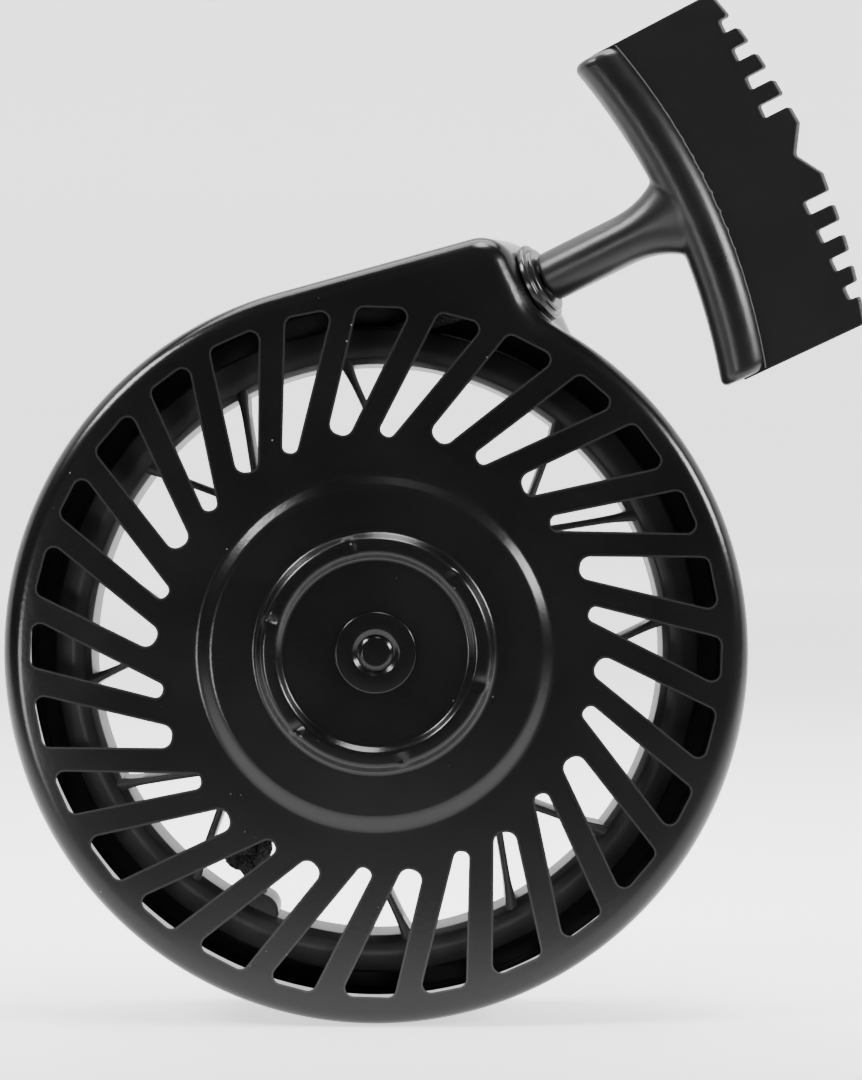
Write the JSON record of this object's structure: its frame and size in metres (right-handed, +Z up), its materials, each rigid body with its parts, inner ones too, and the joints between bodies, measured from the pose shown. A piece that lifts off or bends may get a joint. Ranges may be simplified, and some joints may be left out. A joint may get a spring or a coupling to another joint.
{
  "type": "recoil starter",
  "caption": "Round vented recoil starter with a spoked rope pulley, rewind spring, drive dogs and a wide notched pull handle.",
  "frame": {"origin": "on the pulley axis, in the plane of the housing's rear rim", "axes": "+Y towards the engine along the axis, +Z up, +X towards the rope outlet's side"},
  "size_m": [0.235, 0.0652, 0.2803],
  "materials": {
    "coat": "satin black powder coat on pressed steel",
    "nylon": "moulded black nylon",
    "rubber": "glossy black",
    "grip": "grained black moulding",
    "braid": "braided black polyester rope",
    "zinc": "zinc plated steel",
    "spring_steel": "blued spring steel",
    "cast": "sintered steel"
  },
  "bodies": {
    "housing": {"starter_housing": "coat", "centre_post": "zinc", "spring_collar": "zinc", "rope_grommet": "rubber", "rope_lead": "braid", "thrust_washer": "zinc", "friction_spring": "spring_steel", "retainer_washer": "zinc", "retainer_screw": "zinc"},
    "pulley": {"rope_pulley": "nylon", "rope_guard": "nylon", "rewind_spring": "spring_steel", "spring_cover": "zinc", "cover_screw_1": "zinc", "cover_screw_2": "zinc", "cover_screw_3": "zinc", "rope_coil": "braid", "rope_knot": "braid", "dog_pin_1": "zinc", "dog_pin_2": "zinc", "dog_spring_1": "spring_steel", "dog_spring_2": "spring_steel"},
    "retainer": {"dog_retainer": "zinc"},
    "dog_1": {"drive_dog_1": "cast"},
    "dog_2": {"drive_dog_2": "cast"},
    "rope_end": {"handle_rope": "braid", "anchor_washer": "zinc", "handle_knot": "braid"},
    "handle": {"pull_handle": "grip"}
  },
  "joints": [
    {"name": "pulley_turn", "type": "hinge", "parent": "housing", "child": "pulley", "pos_m": [0, 0, 0], "axis": [0, 1, 0], "range_deg": [0, 1080], "stiffness_Nm_per_rad": 0.06, "springref_deg": -687.55},
    {"name": "handle_pull", "type": "slide", "parent": "housing", "child": "rope_end", "axis": [0.8517, -0.342, 0.3971], "range_m": [0, 1.59]},
    {"name": "handle_swivel", "type": "hinge", "parent": "rope_end", "child": "handle", "pos_m": [0.04442, -0.0335, 0.10203], "axis": [0.8517, -0.342, 0.3971], "continuous": true},
    {"name": "retainer_lag", "type": "hinge", "parent": "pulley", "child": "retainer", "pos_m": [0, 0, 0], "axis": [0, -1, 0], "range_deg": [0, 25], "stiffness_Nm_per_rad": 0.01, "springref_deg": -17.19},
    {"name": "dog_1_swing", "type": "hinge", "parent": "pulley", "child": "dog_1", "pos_m": [0.027, 0, 0], "axis": [0, -1, 0], "range_deg": [0, 32.01]},
    {"name": "dog_2_swing", "type": "hinge", "parent": "pulley", "child": "dog_2", "pos_m": [-0.027, 0, 0], "axis": [0, -1, 0], "range_deg": [0, 32.01]}
  ],
  "couplings": [
    {"joint": "handle_pull", "follows": "pulley_turn", "m_per_rad": 0.0843},
    {"joint": "dog_1_swing", "follows": "retainer_lag", "ratio": 1.28},
    {"joint": "dog_2_swing", "follows": "retainer_lag", "ratio": 1.28}
  ]
}
